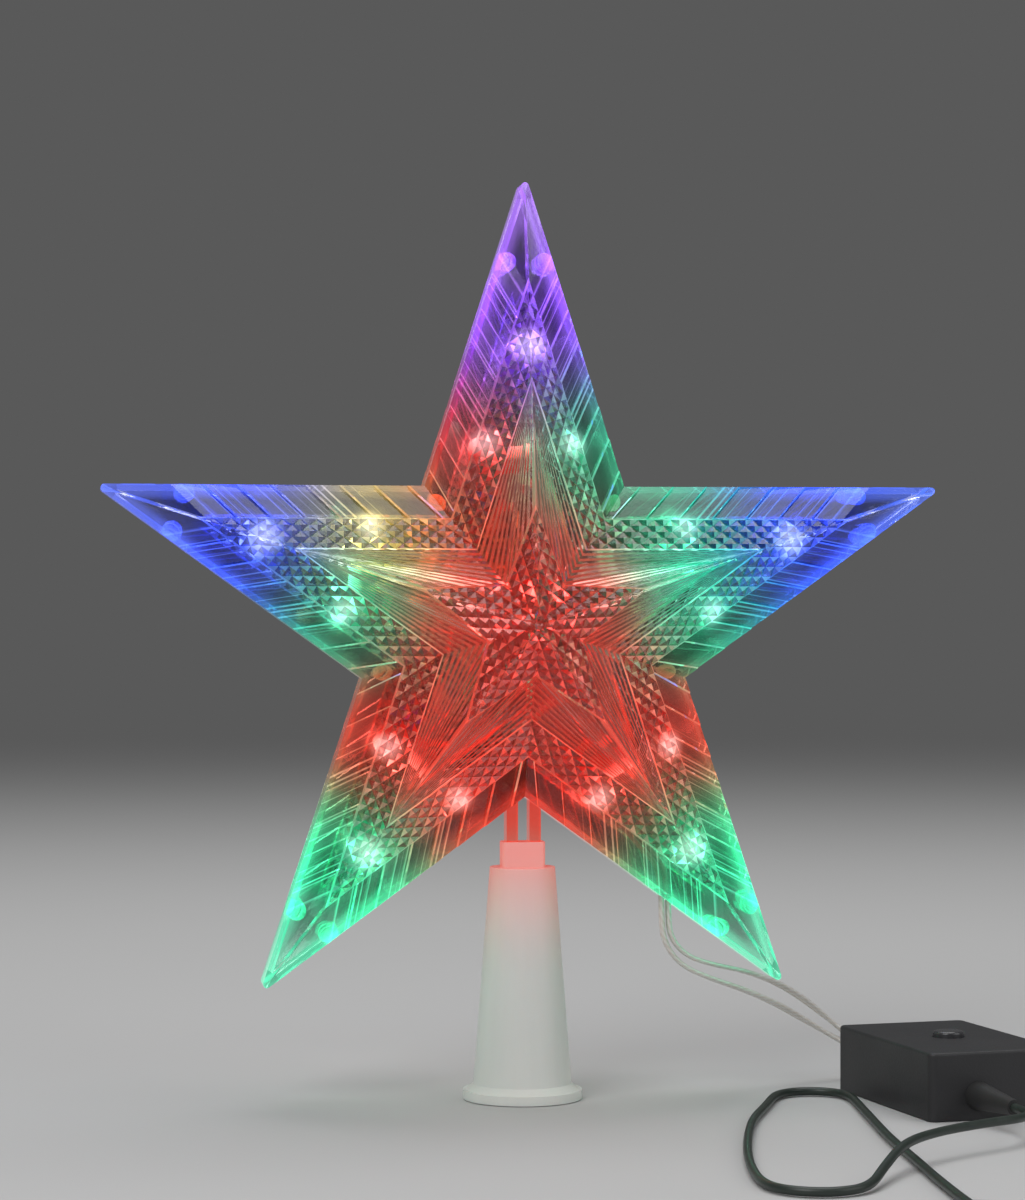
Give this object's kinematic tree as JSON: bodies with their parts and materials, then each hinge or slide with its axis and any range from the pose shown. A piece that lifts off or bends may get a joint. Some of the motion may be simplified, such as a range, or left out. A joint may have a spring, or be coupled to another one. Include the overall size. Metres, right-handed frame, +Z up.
{
  "type": "lit tree topper star",
  "caption": "Clear faceted five-pointed star with coloured lamps inside, plugged onto a hollow cone stand that slips over a tree's tip, with a controller box and a corded plug.",
  "frame": {"origin": "centre of the cone's flange on the surface that it stands on", "axes": "+Z up through the cone and the star's top tip, the star's front faces -Y, +X to the right seen from the front"},
  "size_m": [0.239, 0.2982, 0.2379],
  "materials": {
    "clear_shell": "polished clear",
    "clear_wire": "clear sheath over wire",
    "white_plastic": "plain",
    "cone_plastic": "satin, lets light through",
    "black_plastic": "fine grain",
    "button_plastic": "smooth",
    "black_rubber": "moulded",
    "cord_rubber": "smooth sheath",
    "bare_steel": "plated",
    "pin_metal": "nickel plated",
    "board": "bare laminate",
    "chip_black": "moulded",
    "lamp_violet": "lit lamp",
    "lamp_red": "lit lamp",
    "lamp_green": "lit lamp",
    "lamp_blue": "lit lamp",
    "lamp_yellow": "lit lamp"
  },
  "bodies": {
    "base": {"tree_cone": "cone_plastic", "controller_base": "black_plastic", "controller_lid": "black_plastic", "controller_screws": "bare_steel", "controller_board": "board", "board_parts": "chip_black", "mode_switch": "chip_black", "lead_gland": "black_rubber", "mains_gland": "black_rubber", "lead_wire_1": "clear_wire", "lead_wire_2": "clear_wire", "lead_wire_3": "clear_wire", "lead_wire_4": "clear_wire", "mains_cord": "cord_rubber", "mains_coil": "cord_rubber", "plug_tail": "cord_rubber", "cord_tie": "black_plastic", "plug_body": "black_rubber", "plug_pins": "pin_metal"},
    "star": {"front_shell": "clear_shell", "back_shell": "clear_shell", "led_top_tip": "lamp_violet", "led_top_left": "lamp_red", "led_top_right": "lamp_green", "led_sleeves_top": "white_plastic", "harness_top": "clear_wire", "led_right_tip": "lamp_blue", "led_right_left": "lamp_green", "led_right_right": "lamp_green", "led_sleeves_right": "white_plastic", "harness_right": "clear_wire", "led_lower_right_tip": "lamp_green", "led_lower_right_left": "lamp_red", "led_lower_right_right": "lamp_red", "led_sleeves_lower_right": "white_plastic", "harness_lower_right": "clear_wire", "led_lower_left_tip": "lamp_green", "led_lower_left_left": "lamp_red", "led_lower_left_right": "lamp_red", "led_sleeves_lower_left": "white_plastic", "harness_lower_left": "clear_wire", "led_left_tip": "lamp_blue", "led_left_left": "lamp_green", "led_left_right": "lamp_yellow", "led_sleeves_left": "white_plastic", "harness_left": "clear_wire", "splice_hub": "white_plastic", "led_centre_1": "lamp_red", "led_centre_2": "lamp_red", "lead_tail": "clear_wire"},
    "button": {"mode_button": "button_plastic"}
  },
  "joints": [
    {"name": "star_lift", "type": "slide", "parent": "base", "child": "star", "axis": [0, 0, 1], "range_m": [0, 0.02]},
    {"name": "mode_press", "type": "slide", "parent": "base", "child": "button", "axis": [0, 0, -1], "range_m": [0, 0.0008], "stiffness_N_per_m": 400, "springref_m": -0.0008}
  ]
}
